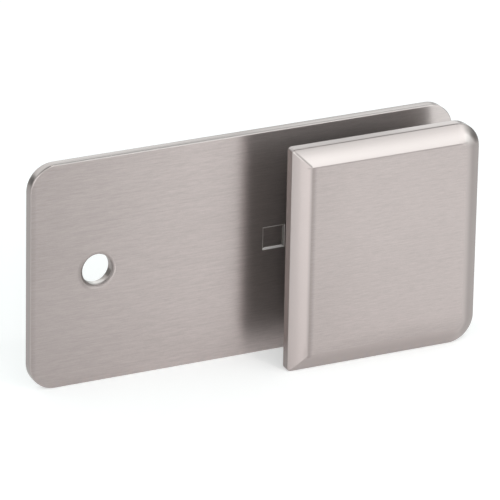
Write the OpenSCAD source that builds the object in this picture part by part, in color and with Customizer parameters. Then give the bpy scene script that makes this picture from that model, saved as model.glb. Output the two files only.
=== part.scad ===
// Bevelled glass clamp on a long back plate.
// X runs along the plates, the bevelled face looks towards -Y and Z is up.
// The origin is the centre of the fixing hole on the rear face of the back plate.

/* [Back plate] */
// Length of the back plate
plate_length = 100; // [85:0.1:160]
// Height of both plates
plate_height = 51; // [40:0.1:80]
// Thickness of the back plate
plate_thickness = 2.4; // [2.4:0.1:5]
// Corner radius of the back plate
plate_corner = 6; // [2:0.1:12]
// Radius that rounds the plain edges of both plates
edge_round = 0.35; // [0.1:0.05:0.6]

/* [Fixing hole] */
// Diameter of the fixing hole
hole_diameter = 6.8; // [4:0.1:9]
// Distance from the plate's end to the middle of the fixing hole
hole_inset = 15.8; // [8:0.1:24]
// Radius that rounds the front rim of the fixing hole
hole_rim = 0.95; // [0.2:0.05:1.2]

/* [Square pocket] */
// Side of the blind square pocket
pocket_size = 4.5; // [3:0.1:5.2]
// Depth of the pocket
pocket_depth = 0.5; // [0.5:0.1:1.5]
// Length of the pocket outside the clamp plate's inner end
pocket_overhang = 0.1; // [0:0.05:1]
// Height of the pocket's middle above the middle of the plate
pocket_rise = 0.8; // [-4:0.1:4]
// Corner radius of the pocket
pocket_corner = 0.4; // [0.2:0.05:1]
// Chamfer round the pocket's rim
rim_chamfer = 0.4; // [0.1:0.05:0.4]

/* [Clamp plate] */
// Length of the bevelled clamp plate
clamp_length = 45; // [40:0.1:56]
// Full thickness of the clamp plate
clamp_thickness = 4.4; // [3.5:0.1:8]
// Height of the square side below the bevel
land_height = 2.5; // [1.5:0.1:2.8]
// Width of the bevel, seen from the front
bevel_width = 3.9; // [2:0.05:4.5]
// Radius that rounds the edge between the square side and the bevel
land_round = 0.4; // [0.1:0.05:0.6]
// Height of the bevel's crown over a straight bevel
bevel_crown = 0.15; // [0.05:0.01:0.25]
// Corner radius at the outer end
clamp_corner = 6; // [5:0.1:12]
// Corner radius at the inner end, over the back plate
inner_corner = 0.8; // [0.4:0.1:2]

/* [Boss and screw] */
// Clear distance between the two plates when the clamp is closed
glass_gap = 9.8; // [8:0.1:16]
// Diameter of the tapped boss behind the clamp plate
boss_diameter = 12; // [10:0.1:16]
// Distance that the tapped hole runs on into the clamp plate
tap_run_on = 1.2; // [0.5:0.1:2]
// Thread diameter of the clamp screw
thread_diameter = 5; // [4.8:0.1:6.4]
// Diameter of the countersunk screw head
head_diameter = 9.2; // [8:0.1:9.4]
// Width across the flats of the hexagon socket
socket_flats = 3; // [2:0.1:3]
// Depth of the hexagon socket
socket_depth = 1.8; // [1:0.1:2]
// Space left in the tapped hole beyond the screw's tip
tip_room = 2; // [1:0.1:4]

/* [Gaskets] */
// Thickness of each gasket
gasket_thickness = 0.8; // [0.5:0.1:1.5]
// Distance from the clamp plate's edges to the gaskets' edges
gasket_inset = 6.6; // [6.5:0.1:9]
// Corner radius of the gaskets
gasket_corner = 2; // [0.5:0.1:4]

/* [Fits] */
// Radial clearance of the thread in the tapped boss
thread_clearance = 0.05; // [0.02:0.01:0.1]
// Radial clearance of the screw in the back plate
screw_clearance = 0.25; // [0.1:0.05:0.4]
// Clearance between the screw head and its countersink
seat_clearance = 0.05; // [0.02:0.01:0.1]
// Depth of the screw head below the rear face
head_recess = 0.1; // [0:0.05:0.2]
// Radial clearance of the gaskets round the boss
gasket_clearance = 0.5; // [0.3:0.1:1]

/* [Hidden] */
$fn = 96;
// Facets of the wide circle that the bevel's crown is cut from
bevel_facets = 360;

nickel = [0.71, 0.67, 0.65];
steel = [0.60, 0.60, 0.62];
rubber = [0.38, 0.38, 0.39];

// Extra length of a cutting solid past the face it opens
cut = 1;
// Straight rim of the screw head above its cone
head_rim = 0.2;
// Chamfer at the screw's tip and at the end of the boss
end_chamfer = 0.5;
// Degrees that the land's rounded edge turns through before the bevel starts
land_sweep = 56;

plate_left = -hole_inset;
plate_right = plate_length - hole_inset;
plate_bottom = -plate_height / 2;
plate_front = -plate_thickness;

clamp_left = plate_right - clamp_length;
clamp_rear = plate_front - glass_gap;

screw_x = plate_right - clamp_length / 2;
boss_r = boss_diameter / 2;
thread_r = thread_diameter / 2;
head_r = head_diameter / 2;
tapped_r = thread_r + thread_clearance;
screw_hole_r = thread_r + screw_clearance;
tap_depth = glass_gap + tap_run_on;
screw_length = plate_thickness - head_recess + tap_depth - tip_room;

gasket_length = clamp_length - 2 * gasket_inset;
gasket_height = plate_height - 2 * gasket_inset;
gasket_hole_r = boss_r + gasket_clearance;

// The bevel is a shallow arc from the rounded edge of the land up to the flat face.
bevel_start = [land_round * (1 - cos(land_sweep)), land_height];
bevel_end = [bevel_width, clamp_thickness];
bevel_chord = norm(bevel_end - bevel_start);
bevel_slope = atan2(bevel_end.y - bevel_start.y, bevel_end.x - bevel_start.x);
bevel_outward = [-sin(bevel_slope), cos(bevel_slope)];
bevel_radius = (pow(bevel_chord / 2, 2) + pow(bevel_crown, 2)) / (2 * bevel_crown);
bevel_centre = (bevel_start + bevel_end) / 2 - (bevel_radius - bevel_crown) * bevel_outward;

// The land's edge is an arc that ends on the land and at the start of the bevel.
land_arc = [land_round, land_height - land_round * sin(land_sweep)];

// Length that an edge shape runs in from its edge, past the far side of any plate
reach = plate_length + plate_height;

// Edge shapes are half-sections: x runs in from the edge, y is the height above the rear face.
module plain_edge() {
    r = edge_round;
    for (y = [r, plate_thickness - r])
        translate([r, y])
            circle(r);
    translate([0, r])
        square([reach, plate_thickness - 2 * r]);
    translate([r, 0])
        square([reach, plate_thickness]);
}

module bevelled_edge() {
    r = edge_round;
    translate([r, r])
        circle(r);
    translate(land_arc)
        circle(land_round);
    intersection() {
        translate(bevel_centre)
            circle(bevel_radius, $fn = bevel_facets);
        polygon([
            bevel_start,
            bevel_end,
            bevel_end + 2 * bevel_crown * bevel_outward,
            bevel_start + 2 * bevel_crown * bevel_outward
        ]);
    }
    polygon([
        [r, 0],
        [0, r],
        [0, land_arc.y],
        bevel_start,
        bevel_end,
        [reach, clamp_thickness],
        [reach, 0]
    ]);
}

module chamfered_edge() {
    polygon([[rim_chamfer, 0], [0, rim_chamfer], [reach, rim_chamfer], [reach, 0]]);
}

// Cross-section of a plate with the same edge shape on both sides.
module section(span) {
    intersection() {
        children();
        translate([span, 0])
            mirror([1, 0])
                children();
    }
}

// Square-cornered plate with mitred edges, lying on its rear face.
module mitred_plate(length, height) {
    intersection() {
        rotate([90, 0, 90])
            linear_extrude(length)
                section(height)
                    children();
        translate([0, height, 0])
            rotate([90, 0, 0])
                linear_extrude(height)
                    section(length)
                        children();
    }
}

// Quarter of a turned disc that carries an edge shape round a corner.
module turned_corner(radius, thickness) {
    rotate_extrude(angle = 90)
        intersection() {
            translate([radius, 0])
                mirror([1, 0])
                    children();
            square([radius, thickness]);
        }
}

// Puts a child at the centre of each corner's radius, turned to face that corner.
module at_corners(length, height, left_radius, right_radius) {
    for (right = [0, 1], top = [0, 1]) {
        $radius = right == 1 ? right_radius : left_radius;
        x = right == 1 ? length - $radius : $radius;
        y = top == 1 ? height - $radius : $radius;
        translate([x, y, 0])
            mirror([1 - right, 0, 0])
                mirror([0, 1 - top, 0])
                    children();
    }
}

// Plate whose four corners are turned, to one radius at each end.
module rounded_plate(length, height, thickness, left_radius, right_radius) {
    difference() {
        mitred_plate(length, height)
            children();
        at_corners(length, height, left_radius, right_radius)
            translate([0, 0, -cut])
                cube([$radius + cut, $radius + cut, thickness + 2 * cut]);
    }
    at_corners(length, height, left_radius, right_radius)
        turned_corner($radius, thickness)
            children();
}

// Stands a plate that lies on its rear face upright, with that face at the given place.
module stand(left, rear, bottom) {
    translate([left, rear, bottom])
        rotate([90, 0, 0])
            children();
}

// Rectangle with round corners.
module round_rectangle(length, height, radius) {
    for (x = [radius, length - radius], y = [radius, height - radius])
        translate([x, y])
            circle(radius);
    translate([radius, 0])
        square([length - 2 * radius, height]);
    translate([0, radius])
        square([length, height - 2 * radius]);
}

// Through hole whose front rim is rounded over.
module fixing_hole() {
    r = hole_diameter / 2;
    translate([0, 0, -cut])
        cylinder(r = r, h = plate_thickness + 2 * cut);
    rotate_extrude()
        difference() {
            translate([r - hole_rim, plate_thickness - hole_rim])
                square([2 * hole_rim, hole_rim + cut]);
            translate([r + hole_rim, plate_thickness - hole_rim])
                circle(hole_rim);
        }
}

// Blind square pocket with a chamfered rim, sunk from the height of the front face.
module square_pocket() {
    rim = pocket_size + 2 * rim_chamfer;
    translate([-pocket_size / 2, -pocket_size / 2, -pocket_depth])
        linear_extrude(pocket_depth + cut)
            round_rectangle(pocket_size, pocket_size, pocket_corner);
    translate([-rim / 2, -rim / 2, -rim_chamfer])
        mitred_plate(rim, rim)
            chamfered_edge();
}

// Countersunk clearance hole for the clamp screw, sunk from the rear face.
module screw_seat() {
    seat_r = head_r + seat_clearance;
    cone_start = head_recess + head_rim;
    translate([0, 0, -cut])
        cylinder(r = screw_hole_r, h = plate_thickness + 2 * cut);
    translate([0, 0, -cut])
        cylinder(r = seat_r, h = cut + cone_start);
    translate([0, 0, cone_start])
        cylinder(r1 = seat_r, r2 = screw_hole_r, h = seat_r - screw_hole_r);
}

module back_plate() {
    color(nickel)
        difference() {
            stand(plate_left, 0, plate_bottom)
                rounded_plate(plate_length, plate_height, plate_thickness, plate_corner, plate_corner)
                    plain_edge();
            stand(0, 0, 0)
                fixing_hole();
            stand(clamp_left - pocket_overhang + pocket_size / 2, plate_front, pocket_rise)
                square_pocket();
            stand(screw_x, 0, 0)
                screw_seat();
        }
}

module gasket() {
    difference() {
        linear_extrude(gasket_thickness)
            round_rectangle(gasket_length, gasket_height, gasket_corner);
        translate([gasket_length / 2, gasket_height / 2, -cut])
            cylinder(r = gasket_hole_r, h = gasket_thickness + 2 * cut);
    }
}

module back_gasket() {
    color(rubber)
        stand(clamp_left + gasket_inset, plate_front, plate_bottom + gasket_inset)
            gasket();
}

module front_gasket() {
    color(rubber)
        stand(clamp_left + gasket_inset, clamp_rear + gasket_thickness, plate_bottom + gasket_inset)
            gasket();
}

// Round boss that reaches back from the clamp plate to the back plate.
module boss() {
    rotate_extrude()
        polygon([
            [0, -glass_gap],
            [boss_r - end_chamfer, -glass_gap],
            [boss_r, end_chamfer - glass_gap],
            [boss_r, land_height / 2],
            [0, land_height / 2]
        ]);
}

module clamp_plate() {
    color(nickel)
        difference() {
            union() {
                stand(clamp_left, clamp_rear, plate_bottom)
                    rounded_plate(clamp_length, plate_height, clamp_thickness, inner_corner, clamp_corner)
                        bevelled_edge();
                stand(screw_x, clamp_rear, 0)
                    boss();
            }
            stand(screw_x, plate_front, 0)
                translate([0, 0, -cut])
                    cylinder(r = tapped_r, h = tap_depth + cut);
        }
}

// Flat-head screw with a hexagon socket, turned with its head on the rear side.
module clamp_screw() {
    cone_end = head_rim + head_r - thread_r;
    color(steel)
        stand(screw_x, -head_recess, 0)
            difference() {
                rotate_extrude()
                    polygon([
                        [0, 0],
                        [head_r, 0],
                        [head_r, head_rim],
                        [thread_r, cone_end],
                        [thread_r, screw_length - end_chamfer],
                        [thread_r - end_chamfer, screw_length],
                        [0, screw_length]
                    ]);
                translate([0, 0, -cut])
                    cylinder(d = socket_flats / cos(30), h = socket_depth + cut, $fn = 6);
            }
}

back_plate();
back_gasket();
clamp_plate();
front_gasket();
clamp_screw();
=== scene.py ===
import math

import bpy
from mathutils import Matrix, Vector


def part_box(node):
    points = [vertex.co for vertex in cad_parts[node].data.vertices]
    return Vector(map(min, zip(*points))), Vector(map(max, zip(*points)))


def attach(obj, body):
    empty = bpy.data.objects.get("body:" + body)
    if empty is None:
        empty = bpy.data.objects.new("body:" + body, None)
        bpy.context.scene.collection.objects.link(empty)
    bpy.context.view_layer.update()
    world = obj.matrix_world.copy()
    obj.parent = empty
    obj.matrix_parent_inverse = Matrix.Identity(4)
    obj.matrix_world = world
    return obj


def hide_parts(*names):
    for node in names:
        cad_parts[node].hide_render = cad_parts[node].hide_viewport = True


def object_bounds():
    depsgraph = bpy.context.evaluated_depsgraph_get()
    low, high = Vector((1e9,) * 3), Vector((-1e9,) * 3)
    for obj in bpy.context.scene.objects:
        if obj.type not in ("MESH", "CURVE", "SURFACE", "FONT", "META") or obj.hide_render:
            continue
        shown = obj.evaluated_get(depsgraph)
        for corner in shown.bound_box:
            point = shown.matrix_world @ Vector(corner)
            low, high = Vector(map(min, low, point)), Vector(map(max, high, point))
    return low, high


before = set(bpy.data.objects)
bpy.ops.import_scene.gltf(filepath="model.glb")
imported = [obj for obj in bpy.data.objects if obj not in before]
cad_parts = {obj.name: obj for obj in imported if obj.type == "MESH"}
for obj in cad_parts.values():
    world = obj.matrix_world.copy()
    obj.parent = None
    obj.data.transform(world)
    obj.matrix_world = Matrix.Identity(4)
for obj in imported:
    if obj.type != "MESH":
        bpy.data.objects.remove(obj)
cad_low, cad_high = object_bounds()

MM = 0.001

# Places read from the frame
plate_low, plate_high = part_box("back_plate")
clamp_low, clamp_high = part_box("clamp_plate")
screw_low, screw_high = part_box("clamp_screw")
plate_middle = (plate_low + plate_high) / 2
screw_middle = (screw_low + screw_high) / 2


# Shader building
class Value:
    """A shader socket that takes part in Python arithmetic."""

    def __init__(self, shading, socket):
        self.shading = shading
        self.socket = socket

    def _math(self, operation, *operands):
        return self.shading.node("ShaderNodeMath", {"operation": operation}, dict(enumerate(operands)))

    def __add__(self, other):
        return self._math("ADD", self, other)

    def __radd__(self, other):
        return self._math("ADD", other, self)

    def __sub__(self, other):
        return self._math("SUBTRACT", self, other)

    def __rsub__(self, other):
        return self._math("SUBTRACT", other, self)

    def __mul__(self, other):
        return self._math("MULTIPLY", self, other)

    def __rmul__(self, other):
        return self._math("MULTIPLY", other, self)

    def __neg__(self):
        return self._math("MULTIPLY", -1, self)

    def __pow__(self, other):
        return self._math("POWER", self, other)

    def __abs__(self):
        return self._math("ABSOLUTE", self)

    def at_least(self, other):
        return self._math("MAXIMUM", self, other)

    def at_most(self, other):
        return self._math("MINIMUM", self, other)

    def sine(self):
        return self._math("SINE", self)

    def rise(self, low, high):
        """0 below low, 1 above high, and smooth between."""
        settings = {"interpolation_type": "SMOOTHSTEP"}
        sockets = {"Value": self, "From Min": low, "From Max": high}
        return self.shading.node("ShaderNodeMapRange", settings, sockets)

    def fall(self, low, high):
        """1 below low, 0 above high, and smooth between."""
        return 1 - self.rise(low, high)


class Shading:
    """A node tree and the ways to add to it."""

    def __init__(self, tree):
        self.tree = tree
        tree.nodes.clear()

    def node(self, kind, settings=None, sockets=None, output=0):
        """Adds a node: its settings first, then the values or links of its sockets."""
        made = self.tree.nodes.new(kind)
        for name, setting in (settings or {}).items():
            setattr(made, name, setting)
        for key, given in (sockets or {}).items():
            if isinstance(given, Value):
                self.tree.links.new(given.socket, made.inputs[key])
            else:
                made.inputs[key].default_value = given
        return Value(self, made.outputs[output]) if made.outputs else None

    def place(self):
        """Position on the piece, in metres of the shared frame."""
        return self.node("ShaderNodeTexCoord", output="Object")

    def facing(self):
        """Direction that the surface of the piece faces."""
        return self.node("ShaderNodeTexCoord", output="Normal")

    def axes(self, vector):
        """The three parts of a vector."""
        parts = self.node("ShaderNodeSeparateXYZ", sockets={0: vector}).socket.node.outputs
        return [Value(self, part) for part in parts]

    def stretched(self, vector, scale):
        """A vector with its axes scaled."""
        return self.node("ShaderNodeVectorMath", {"operation": "MULTIPLY"}, {0: vector, 1: scale})

    def noise(self, vector, scale, detail, rough):
        """Soft random marks, from 0 to 1 and mostly near the middle."""
        sockets = {"Vector": vector, "Scale": scale, "Detail": detail, "Roughness": rough}
        return self.node("ShaderNodeTexNoise", sockets=sockets)

    def mixed(self, share, first, second):
        """Colour between two colours."""
        sockets = {"Factor": share, 6: first, 7: second}
        return self.node("ShaderNodeMix", {"data_type": "RGBA"}, sockets, output=2)

    def bump(self, height, strength, distance):
        """Normal of a surface with a fine relief."""
        sockets = {"Height": height, "Strength": strength, "Distance": distance}
        return self.node("ShaderNodeBump", sockets=sockets)


class Finish(Shading):
    """One material and the nodes that make it."""

    def __init__(self, name):
        self.material = bpy.data.materials.new(name)
        self.material.use_nodes = True
        super().__init__(self.material.node_tree)

    def surface(self, sockets):
        """Ends the material in a principled shader."""
        shader = self.node("ShaderNodeBsdfPrincipled", sockets=sockets)
        self.node("ShaderNodeOutputMaterial", sockets={"Surface": shader})
        return self.material


def strongest(*marks):
    """The strongest of several marks at each place."""
    first, *others = marks
    for other in others:
        first = first.at_least(other)
    return first


# Brushed nickel
NICKEL_DARK = (0.405, 0.354, 0.344, 1)
NICKEL_LIGHT = (0.543, 0.476, 0.463, 1)
PLATE_REAR_TONE = (0.516, 0.479, 0.454, 1)
# The clamp plate's rear gets a dark tone: painted shade for the gap between the plates, which darkens
# its reflection in the back plate.
CLAMP_REAR_SHADE_TONE = (0.276, 0.266, 0.222, 1)
SHADE_TONE = (0.178, 0.154, 0.146, 1)
# Painted shade on the square pocket's wall that faces left.
POCKET_SHADE_TONE = (0.130, 0.120, 0.112, 1)
# Painted highlight: the pale colour of the gleam marks and of the square pocket's lit rims.
PAINTED_HIGHLIGHT_TONE = (0.930, 0.885, 0.860, 1)
PLATING_METAL = 0.88
POCKET_SILL_METAL = 0.50
FACE_ROUGHNESS = 0.284
EDGE_ROUGHNESS = 0.277
PLATE_REAR_ROUGHNESS = 0.48
CLAMP_REAR_ROUGHNESS = 0.85
POCKET_ROUGHNESS = 0.60
HOLE_DULLING = 0.20
CLOUD_DULLING = 0.03
BRUSHING = 0.8
BRUSHED_ALONG_X = 0.25

# Marks of the brush in a metre, along X, Y and Z
STREAK_RATE = (140, 3200, 3200)
FINE_RATE = (450, 5600, 5600)
CLOUD_RATE = (14, 30, 30)
SPECKLE_RATE = 3600.0


def brushed_grain(finish, place):
    """Grain of the brush, the scratches that make it, and soft clouds in it."""
    streaks = finish.noise(finish.stretched(place, STREAK_RATE), 1.0, 3.0, 0.6)
    fine = finish.noise(finish.stretched(place, FINE_RATE), 1.0, 2.0, 0.6)
    speckle = finish.noise(place, SPECKLE_RATE, 1.0, 0.5)
    cloud = finish.noise(finish.stretched(place, CLOUD_RATE), 1.0, 2.0, 0.5)
    grain = 0.29 * streaks + 0.38 * fine + 0.13 * speckle + 0.20 * cloud
    scratches = 0.6 * streaks + 0.4 * fine
    return grain, scratches, cloud


def brushed_nickel(name, marks, rear_tone, rear_roughness, recesses=None):
    """Plated brass, brushed along the plates; rear faces and recesses are duller, and the marks paint
    shade and highlights into its colour.
    """
    finish = Finish(name)
    place = finish.place()
    facing = finish.axes(finish.facing())
    side, depth, up = facing
    flat = abs(depth).rise(0.93, 0.99)
    rear = depth.rise(0.6, 0.9)
    grain, scratches, cloud = brushed_grain(finish, place)
    tone = 0.5 + (0.15 + 0.85 * flat) * (grain.rise(0.25, 0.75) - 0.5)
    colour = finish.mixed(tone, NICKEL_DARK, NICKEL_LIGHT)
    colour = finish.mixed(0.5 * rear, colour, rear_tone)
    # The marks give painted shade, mixed towards SHADE_TONE, and painted highlights, mixed towards the
    # pale highlight tone.
    shade, gleam = marks(finish, place, facing)
    colour = finish.mixed(shade, colour, SHADE_TONE)
    colour = finish.mixed(gleam, colour, PAINTED_HIGHLIGHT_TONE)
    rough = EDGE_ROUGHNESS + (FACE_ROUGHNESS - EDGE_ROUGHNESS) * flat
    rough = rough + CLOUD_DULLING * (cloud - 0.5)
    rough = rough + (rear_roughness - FACE_ROUGHNESS) * rear
    metal = PLATING_METAL
    if recesses:
        hole, pocket = recesses(finish, place)
        rough = rough + HOLE_DULLING * hole * (1 - flat)
        # The pocket's rims get painted highlights, and its wall facing left gets painted shade.
        rim = pocket * (1 - flat)
        rough = rough + (POCKET_ROUGHNESS - EDGE_ROUGHNESS) * rim
        shaded_wall = (-side).rise(0.3, 0.6)
        colour = finish.mixed(rim, colour, finish.mixed(shaded_wall, PAINTED_HIGHLIGHT_TONE, POCKET_SHADE_TONE))
        metal = PLATING_METAL - (PLATING_METAL - POCKET_SILL_METAL) * rim * up.rise(0.3, 0.6)
    return finish.surface({
        "Base Color": colour,
        "Metallic": metal,
        "Roughness": rough,
        "Anisotropic": BRUSHING,
        "Anisotropic Rotation": BRUSHED_ALONG_X,
        "Normal": finish.bump(flat * scratches, 0.015, 0.02 * MM),
    })


# Marks on the clamp plate
CREASE_INSET = 3.9 * MM
CLAMP_CORNER = 6.0 * MM


def edge_inset(finish, place):
    """Distance in from the clamp plate's upper, lower and right edges, round its outer corners too."""
    x, _, z = finish.axes(place)
    past_right = x - (clamp_high.x - CLAMP_CORNER)
    past_level = abs(z - plate_middle.z) - ((clamp_high.z - clamp_low.z) / 2 - CLAMP_CORNER)
    round_part = (past_right.at_least(0) ** 2 + past_level.at_least(0) ** 2) ** 0.5
    return CLAMP_CORNER - round_part - past_right.at_least(past_level).at_most(0)


def crease_shade(finish, place):
    """Painted shade on the face of the clamp plate along its creases, and painted darkening towards its
    left and lower edges.
    """
    x, y, z = finish.axes(place)
    from_left = x - (clamp_low.x + CREASE_INSET)
    from_top = (clamp_high.z - CREASE_INSET) - z
    from_bottom = z - (clamp_low.z + CREASE_INSET)
    front = (clamp_low.y + 0.5 * MM - y).rise(0, 0.3 * MM)
    below_top = from_top.rise(-0.1 * MM, 0.1 * MM)
    past_left = from_left.rise(-0.7 * MM, 0.1 * MM)
    left_line = 0.46 * past_left * from_left.fall(0.1 * MM, 1.7 * MM)
    left_fade = 0.09 * past_left * from_left.fall(0, 16 * MM)
    top_line = 0.34 * from_top.fall(0.1 * MM, 0.5 * MM)
    low_fade = 0.16 * from_bottom.fall(0, 4 * MM)
    return front * below_top * strongest(left_line, top_line, left_fade, low_fade)


def mitre_marks(finish, place, bevel):
    """Painted shade as a dark line along the upper mitre of the clamp plate, and a painted highlight
    beside its outer half.
    """
    x, _, z = finish.axes(place)
    from_left = x - (clamp_low.x + CREASE_INSET)
    from_mitre = 0.7 * (x - clamp_low.x) - 0.7 * (clamp_high.z - z)
    beside = bevel * from_left.fall(-0.2 * MM, 0.2 * MM)
    inner_half = from_left.rise(-3.2 * MM, -1.2 * MM)
    line = (0.6 + 0.4 * inner_half) * beside * abs(from_mitre - 0.1 * MM).fall(0.06 * MM, 0.24 * MM)
    gleam = (1 - inner_half) * beside * abs(from_mitre + 0.2 * MM).fall(0.04 * MM, 0.18 * MM)
    return line, 0.4 * gleam


def edge_shade(finish, place, facing, inset):
    """Shade on the sides and bevels of the clamp plate and on its upper outer corner."""
    x, _, z = finish.axes(place)
    side, _, up = facing
    left_side = 0.64 * (-side).rise(0.85, 0.95)
    right_bevel = 0.46 * side.rise(0.02, 0.40) * inset.fall(1.9 * MM, 3.8 * MM) * up.fall(0.05, 0.25)
    upper_edge = 0.36 * up.rise(0.60, 0.68) * up.fall(0.92, 0.98)
    upper_side = 0.14 * up.rise(0.97, 0.99)
    under_side = 0.27 * (-up).rise(0.25, 0.45)
    past_right = (x - clamp_high.x + CLAMP_CORNER).rise(1.0 * MM, 3.5 * MM)
    past_top = (z - clamp_high.z + CLAMP_CORNER).rise(0, 2.0 * MM)
    corner_rim = 0.95 * past_right * past_top * inset.fall(0.8 * MM, 2.0 * MM)
    return strongest(left_side, right_bevel, upper_edge, upper_side, under_side, corner_rim)


def rear_shade(finish, place, facing):
    """Shade towards the top and the foot of the clamp plate's rear."""
    _, _, z = finish.axes(place)
    rear = facing[1].rise(0.6, 0.9)
    top = 0.90 * (clamp_high.z - z).fall(4 * MM, 18 * MM)
    foot = 0.95 * (z - clamp_low.z).fall(3 * MM, 10 * MM)
    return rear * strongest(top, foot)


def clamp_marks(finish, place, facing):
    """Shade and gleam on the clamp plate."""
    _, _, z = finish.axes(place)
    side, depth, up = facing
    bevel = (-depth).rise(0.6, 0.8)
    inset = edge_inset(finish, place)
    mitre_line, mitre_gleam = mitre_marks(finish, place, bevel)
    edges = edge_shade(finish, place, facing, inset)
    shade = strongest(crease_shade(finish, place), mitre_line, edges, rear_shade(finish, place, facing))
    # Painted highlights on the upper bevel and round the upper outer corner.
    down_bevel = (clamp_high.z - z).rise(0, CREASE_INSET)
    top_gleam = bevel * up.rise(0.25, 0.40) * (0.08 + 0.12 * down_bevel)
    corner_gleam = 0.36 * bevel * side.rise(0.05, 0.28) * up.rise(0.10, 0.32)
    corner_gleam = corner_gleam * inset.rise(1.0 * MM, 2.0 * MM) * inset.fall(2.6 * MM, 3.8 * MM)
    return shade, strongest(top_gleam, corner_gleam, mitre_gleam)


# Marks on the back plate
PLATE_FADE = 45 * MM
HOLE_RIM = 4.2 * MM
HOLE_REACH = 4.6 * MM
HALO_REACH = 5.4 * MM
POCKET_MIDDLE_X = clamp_low.x + 2.15 * MM
POCKET_MIDDLE_Z = 0.8 * MM
POCKET_REACH = 2.7 * MM
FADE_OUT = 1.1


def near_hole(finish, place):
    """1 in the fixing hole, which lies at the frame's origin, and on its rounded rim."""
    x, _, z = finish.axes(place)
    return (x ** 2 + z ** 2).fall(HOLE_REACH ** 2, (FADE_OUT * HOLE_REACH) ** 2)


def in_pocket(finish, place):
    """1 inside the square pocket."""
    x, y, z = finish.axes(place)
    off = abs(x - POCKET_MIDDLE_X).at_least(abs(z - POCKET_MIDDLE_Z))
    deep = (y - plate_low.y).rise(0.01 * MM, 0.05 * MM)
    return deep * off.fall(POCKET_REACH, FADE_OUT * POCKET_REACH)


def plate_recesses(finish, place):
    """Where the brush doesn't reach: the fixing hole and the square pocket."""
    return near_hole(finish, place), in_pocket(finish, place)


def hole_marks(finish, place, facing, hole):
    """Shade in the fixing hole and round its rim, and the gleam on its lower wall."""
    x, _, z = finish.axes(place)
    side, depth, up = facing
    wall = hole * abs(depth).fall(0.3, 0.6)
    # Painted shade round the hole: on its rim, beside it to the left and on its right wall; a painted
    # highlight on its lower wall.
    grime_and_shade = 0.80 * hole * (0.95 * side + 0.15 * up).rise(0.05, 0.45)
    left_of_hole = (-0.95 * x - 0.2 * z).rise(1.0 * MM, 4.0 * MM)
    halo = 0.52 * left_of_hole * (x ** 2 + z ** 2).fall(HOLE_RIM ** 2, HALO_REACH ** 2)
    right_wall = 0.40 * wall * (-side).rise(0.55, 0.85)
    spot = wall * (0.43 * up - 0.90 * side).rise(0.93, 0.99)
    low_rim = 0.40 * hole * (-depth).rise(0.25, 0.50) * (0.7 * up - 0.7 * side).rise(0.2, 0.5)
    low_wall = 0.5 * wall * up.rise(0.75, 0.95)
    return strongest(grime_and_shade, halo, right_wall, spot, low_rim), low_wall


def plate_marks(finish, place, facing):
    """Shade towards the free end of the back plate, on its edges and in its hole, and its gleams."""
    x, _, _ = finish.axes(place)
    side, depth, up = facing
    hole = near_hole(finish, place)
    hole_shade, hole_gleam = hole_marks(finish, place, facing, hole)
    forward = -depth
    leftward = -side
    front = forward.rise(0.90, 0.97)
    from_end = x - plate_low.x
    # Painted shade: darker towards the free end, along the end's front edge and on the upper, end and
    # corner edges.
    fade = 0.36 * from_end.fall(-0.3 * PLATE_FADE, PLATE_FADE)
    end_line = 0.44 * front * from_end.fall(0.3 * MM, 3.5 * MM)
    upper_side = 0.30 * up.rise(0.90, 0.98)
    end_side = 0.58 * leftward.rise(0.85, 0.95)
    corner_edge = 0.45 * leftward.rise(0.08, 0.25) * up.rise(0.25, 0.50) * forward.rise(0.2, 0.4)
    corner_patch = 0.80 * leftward.rise(0.65, 0.85) * up.rise(0.12, 0.40) * forward.fall(0.4, 0.7)
    edges = (1 - hole) * strongest(upper_side, end_side, corner_edge, corner_patch)
    shade = strongest(fade, end_line, edges, hole_shade)
    # Painted highlights along the upper front edge and towards the outer end.
    top_line = 0.5 * up.rise(0.35, 0.60) * up.fall(0.88, 0.96) * forward.rise(0.2, 0.4)
    top_line = top_line * (1 - hole) * abs(side).fall(0.05, 0.20)
    outer_end = 0.26 * front * (plate_high.x - x).fall(4.2 * MM, 12.2 * MM)
    return shade, strongest(top_line, outer_end, hole_gleam)


# Steel and rubber
STEEL_DARK = (0.50, 0.50, 0.51, 1)
STEEL_LIGHT = (0.62, 0.62, 0.63, 1)
STEEL_ROUGHNESS = 0.26
RING_RATE = 21000
RUBBER_DARK = (0.155, 0.149, 0.146, 1)
RUBBER_LIGHT = (0.205, 0.197, 0.193, 1)
RUBBER_ROUGHNESS = 0.5


def turned_steel():
    """Stainless steel with turning rings round the screw's axis."""
    finish = Finish("turned_steel")
    place = finish.place()
    x, _, z = finish.axes(place)
    radius = ((x - screw_middle.x) ** 2 + (z - screw_middle.z) ** 2) ** 0.5
    rings = (radius * RING_RATE).sine() * 0.5 + 0.5
    grime_and_shade = finish.noise(place, 900.0, 3.0, 0.6)
    return finish.surface({
        "Base Color": finish.mixed(grime_and_shade, STEEL_DARK, STEEL_LIGHT),
        "Metallic": 1.0,
        "Roughness": STEEL_ROUGHNESS + 0.10 * grime_and_shade,
        "Normal": finish.bump(rings, 0.2, 0.01 * MM),
    })


def gasket_rubber():
    """Matt grey rubber with a pebbled skin."""
    finish = Finish("gasket_rubber")
    place = finish.place()
    pebble = finish.noise(place, 2400.0, 3.0, 0.6)
    cloud = finish.noise(place, 120.0, 2.0, 0.5)
    return finish.surface({
        "Base Color": finish.mixed(cloud, RUBBER_DARK, RUBBER_LIGHT),
        "Roughness": RUBBER_ROUGHNESS + 0.2 * pebble,
        "Normal": finish.bump(pebble, 0.3, 0.03 * MM),
    })


def dress(node, material):
    """Gives a CAD node its finish."""
    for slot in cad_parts[node].material_slots:
        slot.material = material


# Modelled pieces
SHARP_ANGLE = math.radians(35)


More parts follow.
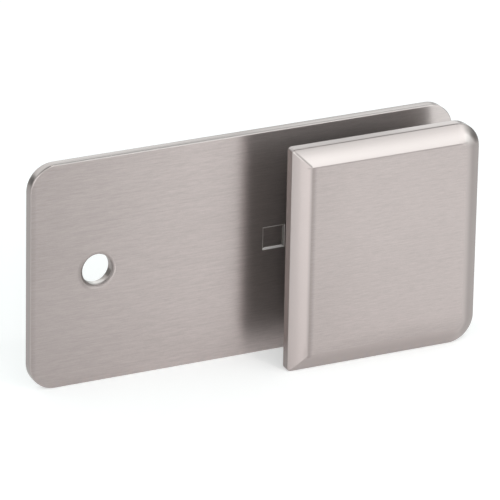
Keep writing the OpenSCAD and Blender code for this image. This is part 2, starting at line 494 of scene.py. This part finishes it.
def ring_piece(name, rings, material, closed=False):
    """A mesh of rings joined in turn, capped at both ends or closed end to end."""
    count = len(rings[0])
    points = [point for ring in rings for point in ring]
    faces = []
    for row in range(len(rings) if closed else len(rings) - 1):
        near = row * count
        far = (row + 1) % len(rings) * count
        for step in range(count):
            after = (step + 1) % count
            faces.append((near + step, near + after, far + after, far + step))
    if not closed:
        faces.append(tuple(reversed(range(count))))
        faces.append(tuple(range((len(rings) - 1) * count, len(rings) * count)))
    mesh = bpy.data.meshes.new(name)
    mesh.from_pydata(points, [], faces)
    mesh.materials.append(material)
    mesh.shade_smooth()
    mesh.set_sharp_from_angle(angle=SHARP_ANGLE)
    piece = bpy.data.objects.new(name, mesh)
    bpy.context.scene.collection.objects.link(piece)
    return piece


# Clamp screw
SCREW_STEPS = 48
SOCKET_FLATS = 3.0 * MM
SOCKET_DEPTH = 1.8 * MM
SOCKET_CONE = 0.5 * MM
SOCKET_TIP = 0.05 * MM
SOCKET_CHAMFER = 0.15 * MM
HEAD_RADIUS = 4.6 * MM
HEAD_RIM = 0.2 * MM
HEAD_ROUND = 0.06 * MM
HEAD_DEPTH = 2.3 * MM
THREAD_RADIUS = 2.5 * MM
THREAD_PITCH = 0.8 * MM
THREAD_DEPTH = 0.45 * MM
THREAD_ROWS = 8
THREAD_RUN_IN = 1 / 8
FLANK_SLOPE = 1.6
FLANK_START = 0.3
TIP_CHAMFER = 0.5 * MM
TIP_INSET = 0.55 * MM


def round_radius(radius):
    """The same radius at every angle."""
    return lambda angle: radius


def hexagon_radius(half_flats):
    """Distance to the side of a hexagon at an angle."""
    sixth = math.pi / 3
    return lambda angle: half_flats / math.cos((angle + sixth / 2) % sixth - sixth / 2)


def thread_radius(depth, fade, limit):
    """Radius of the thread at a depth below the head; fade is its share of the full depth."""
    def at(angle):
        turn = (depth / THREAD_PITCH + angle / math.tau) % 1.0
        flank = min(1.0, max(0.0, FLANK_SLOPE * abs(2 * turn - 1) - FLANK_START))
        return min(limit, THREAD_RADIUS - THREAD_DEPTH * fade * (1 - flank))
    return at


def screw_sections(length):
    """Depths below the top of the head, from the socket's bottom over the rim to the tip, with radii."""
    half = SOCKET_FLATS / 2
    sections = [
        (SOCKET_DEPTH + SOCKET_CONE, round_radius(SOCKET_TIP)),
        (SOCKET_DEPTH, hexagon_radius(half)),
        (SOCKET_CHAMFER, hexagon_radius(half)),
        (0, hexagon_radius(half + SOCKET_CHAMFER)),
        (0, round_radius(HEAD_RADIUS - HEAD_RIM)),
        (HEAD_ROUND, round_radius(HEAD_RADIUS - HEAD_ROUND)),
        (HEAD_RIM, round_radius(HEAD_RADIUS)),
        (HEAD_DEPTH, round_radius(THREAD_RADIUS)),
    ]
    run = length - HEAD_DEPTH
    rows = round(run / THREAD_PITCH * THREAD_ROWS)
    for row in range(1, rows):
        along = row / rows
        depth = HEAD_DEPTH + run * along
        fade = min(1.0, along / THREAD_RUN_IN)
        past_tip = max(0.0, depth - (length - TIP_CHAMFER))
        sections.append((depth, thread_radius(depth, fade, THREAD_RADIUS - past_tip)))
    sections.append((length, round_radius(THREAD_RADIUS - TIP_INSET)))
    return sections


def add_clamp_screw(material):
    """Countersunk machine screw with a hexagon socket and a rolled thread."""
    rings = []
    for depth, radius_at in screw_sections(screw_high.y - screw_low.y):
        ring = []
        for step in range(SCREW_STEPS):
            angle = math.tau * step / SCREW_STEPS
            radius = radius_at(angle)
            side = screw_middle.x + radius * math.cos(angle)
            rise = screw_middle.z + radius * math.sin(angle)
            ring.append((side, screw_high.y - depth, rise))
        rings.append(ring)
    piece = ring_piece("clamp_screw_threaded", rings, material)
    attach(piece, "clamp_screw")
    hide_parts("clamp_screw")


# Gaskets
GASKET_CORNER = 2.0 * MM
GASKET_HOLE = 6.5 * MM
GASKET_ROUND = 0.2 * MM
ROUND_STEPS = 3
CORNER_STEPS = 8
SIDE_STEPS = 20


def gasket_outline(half_width, half_height):
    """Points round a rectangle with round corners."""
    points = []
    for quarter, (side, rise) in enumerate(((1, 1), (-1, 1), (-1, -1), (1, -1))):
        middle = Vector((side * (half_width - GASKET_CORNER), rise * (half_height - GASKET_CORNER)))
        for step in range(CORNER_STEPS + 1):
            angle = (quarter + step / CORNER_STEPS) * math.pi / 2
            points.append(middle + GASKET_CORNER * Vector((math.cos(angle), math.sin(angle))))
    outline = []
    for index, point in enumerate(points):
        outline.append(point)
        if index % (CORNER_STEPS + 1) == CORNER_STEPS:
            after = points[(index + 1) % len(points)]
            outline += [point.lerp(after, step / SIDE_STEPS) for step in range(1, SIDE_STEPS)]
    return outline


def add_gasket(node, body, material):
    """Moulded gasket with soft edges and a round hole for the boss."""
    low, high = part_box(node)
    middle = (low + high) / 2
    outline = gasket_outline((high.x - low.x) / 2, (high.z - low.z) / 2)
    hole = [GASKET_HOLE * point.normalized() for point in outline]
    thickness = high.y - low.y
    edge = []
    for step in range(ROUND_STEPS + 1):
        angle = math.pi / 2 * step / ROUND_STEPS
        edge.append((GASKET_ROUND * (1 - math.sin(angle)), GASKET_ROUND * (1 - math.cos(angle))))
    wall = edge + [(inset, thickness - drop) for inset, drop in reversed(edge)]
    rings = []
    for inset, drop in wall:
        ring = [point - inset * point.normalized() for point in outline]
        rings.append([(middle.x + p.x, low.y + drop, middle.z + p.y) for p in ring])
    for inset, drop in reversed(wall):
        ring = [point + inset * point.normalized() for point in hole]
        rings.append([(middle.x + p.x, low.y + drop, middle.z + p.y) for p in ring])
    piece = ring_piece(node + "_moulded", rings, material, closed=True)
    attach(piece, body)
    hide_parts(node)


plate_nickel = brushed_nickel(
    "brushed_nickel_plate", plate_marks, PLATE_REAR_TONE, PLATE_REAR_ROUGHNESS, plate_recesses)
clamp_nickel = brushed_nickel("brushed_nickel_clamp", clamp_marks, CLAMP_REAR_SHADE_TONE, CLAMP_REAR_ROUGHNESS)
rubber = gasket_rubber()
steel = turned_steel()
dress("back_plate", plate_nickel)
dress("clamp_plate", clamp_nickel)
for node, body in (("back_gasket", "back_plate"), ("front_gasket", "clamp_plate")):
    dress(node, rubber)
    add_gasket(node, body, rubber)
dress("clamp_screw", steel)
add_clamp_screw(steel)

# Camera, at the photograph's angle
VIEW_AZIMUTH = math.radians(-26.60)
VIEW_ELEVATION = math.radians(22.40)
VIEW_ROLL = math.radians(1.139)
VIEW_DISTANCE = 1.1925
VIEW_RIGHT = 1.404 * MM
VIEW_UP = -0.949 * MM
LENS_PER_WIDTH = 11.142
SENSOR_WIDTH = 36.0


def towards(azimuth, elevation):
    """Direction at an azimuth, 0 in front and growing to the right, and an elevation."""
    return Vector((
        math.sin(azimuth) * math.cos(elevation),
        -math.cos(azimuth) * math.cos(elevation),
        math.sin(elevation),
    ))


def add_camera():
    """A long lens, aimed near the middle of the back plate's front face and rolled a little."""
    backward = towards(VIEW_AZIMUTH, VIEW_ELEVATION)
    level_right = (-backward).cross(Vector((0, 0, 1))).normalized()
    level_up = level_right.cross(-backward)
    right = math.cos(VIEW_ROLL) * level_right + math.sin(VIEW_ROLL) * level_up
    up = -math.sin(VIEW_ROLL) * level_right + math.cos(VIEW_ROLL) * level_up
    aim = Vector((plate_middle.x, plate_low.y, plate_middle.z))
    data = bpy.data.cameras.new("camera")
    data.sensor_width = SENSOR_WIDTH
    data.lens = LENS_PER_WIDTH * SENSOR_WIDTH
    camera = bpy.data.objects.new("camera", data)
    turn = Matrix((right, up, backward)).transposed().to_4x4()
    spot = aim + VIEW_RIGHT * right + VIEW_UP * up + VIEW_DISTANCE * backward
    camera.matrix_world = Matrix.Translation(spot) @ turn
    bpy.context.scene.collection.objects.link(camera)
    bpy.context.scene.camera = camera


add_camera()

# Floor and light
FLOOR_TONE = 0.74
FLOOR_MOTTLE = 0.01
FLOOR_GLOW = 0.37
FLOOR_HALF_WIDTH = 4.0
HORIZON_LIGHT = 0.18
WALL_LIGHT = 1.62
UPPER_LIGHT = 0.75
ZENITH_LIGHT = 0.35
DOOR_SHADE = 0.95
TENT_TINT = (0.965, 1.025, 1.02, 1)
POOL_TINT = (1.0, 0.93, 0.91)
POOL_SPOT = Vector((0.085, -0.090, cad_low.z))
POOL_RADIUS = 0.16
POOL_LAMP_RADIUS = 0.06
POOL_LAMP_DISTANCE = 1.0


def grey(tone):
    """A neutral colour."""
    return (tone, tone, tone, 1)


def floor_paper():
    """Studio paper that keeps shadows, topped up to white where it is seen, also in the metal."""
    finish = Finish("floor_paper")
    fibre = finish.noise(finish.place(), 300.0, 3.0, 0.6)
    tone = finish.mixed(fibre, grey(FLOOR_TONE - FLOOR_MOTTLE), grey(FLOOR_TONE + FLOOR_MOTTLE))
    paper = finish.node("ShaderNodeBsdfDiffuse", sockets={"Color": tone})
    path = finish.node("ShaderNodeLightPath").socket.node.outputs
    seen = Value(finish, path["Is Camera Ray"])
    mirrored = Value(finish, path["Is Glossy Ray"])
    through = Value(finish, path["Is Transmission Ray"])
    glow = finish.node("ShaderNodeEmission", sockets={
        "Color": grey(1),
        "Strength": FLOOR_GLOW * (seen + mirrored + through).at_most(1.0),
    })
    both = finish.node("ShaderNodeAddShader", sockets={0: paper, 1: glow})
    finish.node("ShaderNodeOutputMaterial", sockets={"Surface": both})
    return finish.material


def add_floor():
    """A wide sheet of paper under the object."""
    mesh = bpy.data.meshes.new("floor")
    ends = (-FLOOR_HALF_WIDTH, FLOOR_HALF_WIDTH)
    corners = [(x, y, cad_low.z) for x in ends for y in ends]
    mesh.from_pydata(corners, [], [(0, 2, 3, 1)])
    mesh.materials.append(floor_paper())
    floor = bpy.data.objects.new("floor", mesh)
    bpy.context.scene.collection.objects.link(floor)


def hang_lamp(data, aim, azimuth, elevation, distance):
    """Hangs a lamp so that it faces a point, at angles in degrees."""
    out = towards(math.radians(azimuth), math.radians(elevation))
    lamp = bpy.data.objects.new(data.name, data)
    lamp.rotation_euler = out.to_track_quat("Z", "Y").to_euler()
    lamp.location = aim + distance * out
    bpy.context.scene.collection.objects.link(lamp)


def softbox(name, width, height, light):
    """A soft lamp; light is how bright its face is."""
    data = bpy.data.lights.new(name, "AREA")
    data.shape = "RECTANGLE"
    data.size = width
    data.size_y = height
    data.energy = light * math.pi * width * height
    return data


def pool_lamp(power):
    """A lamp with a soft cone that lights a round pool on the floor."""
    data = bpy.data.lights.new("pool_lamp", "SPOT")
    data.energy = power
    data.spot_size = 2 * math.atan(POOL_RADIUS / POOL_LAMP_DISTANCE)
    data.spot_blend = 1.0
    data.color = POOL_TINT
    data.shadow_soft_size = POOL_LAMP_RADIUS
    return data


def add_tent():
    """A round light tent: bright walls over a dark skirting, a dark door on the right, a dimmer roof."""
    world = bpy.data.worlds.new("light_tent")
    bpy.context.scene.world = world
    world.use_nodes = True
    tent = Shading(world.node_tree)
    side, depth, height = tent.axes(tent.node("ShaderNodeTexCoord", output="Generated"))
    door = side.rise(0.90, 0.95) * height.fall(0.36, 0.48)
    back_left = (0.87 * depth - 0.5 * side).rise(0.70, 0.95)
    skirting = 0.14 * back_left - 0.10 * side.rise(0.55, 0.75)
    light = HORIZON_LIGHT + (WALL_LIGHT - HORIZON_LIGHT) * (height - skirting).rise(0.08, 0.24)
    light = light + (UPPER_LIGHT - WALL_LIGHT) * height.rise(0.50, 0.74)
    light = light + (ZENITH_LIGHT - UPPER_LIGHT) * height.rise(0.74, 0.94)
    light = light * (1 - DOOR_SHADE * door)
    background = tent.node("ShaderNodeBackground", sockets={"Color": TENT_TINT, "Strength": light})
    tent.node("ShaderNodeOutputWorld", sockets={"Surface": background})


add_floor()
add_tent()
right_box = softbox("front_right_softbox", width=1.0, height=0.6, light=0.65)
left_strip = softbox("front_left_strip", width=0.34, height=0.30, light=4.9)
pool = pool_lamp(power=7)
hang_lamp(right_box, plate_middle, azimuth=33, elevation=18, distance=1.2)
hang_lamp(left_strip, plate_middle, azimuth=-20, elevation=8, distance=0.9)
hang_lamp(pool, POOL_SPOT, azimuth=15, elevation=68, distance=POOL_LAMP_DISTANCE)

bpy.context.scene.view_settings.view_transform = "Standard"
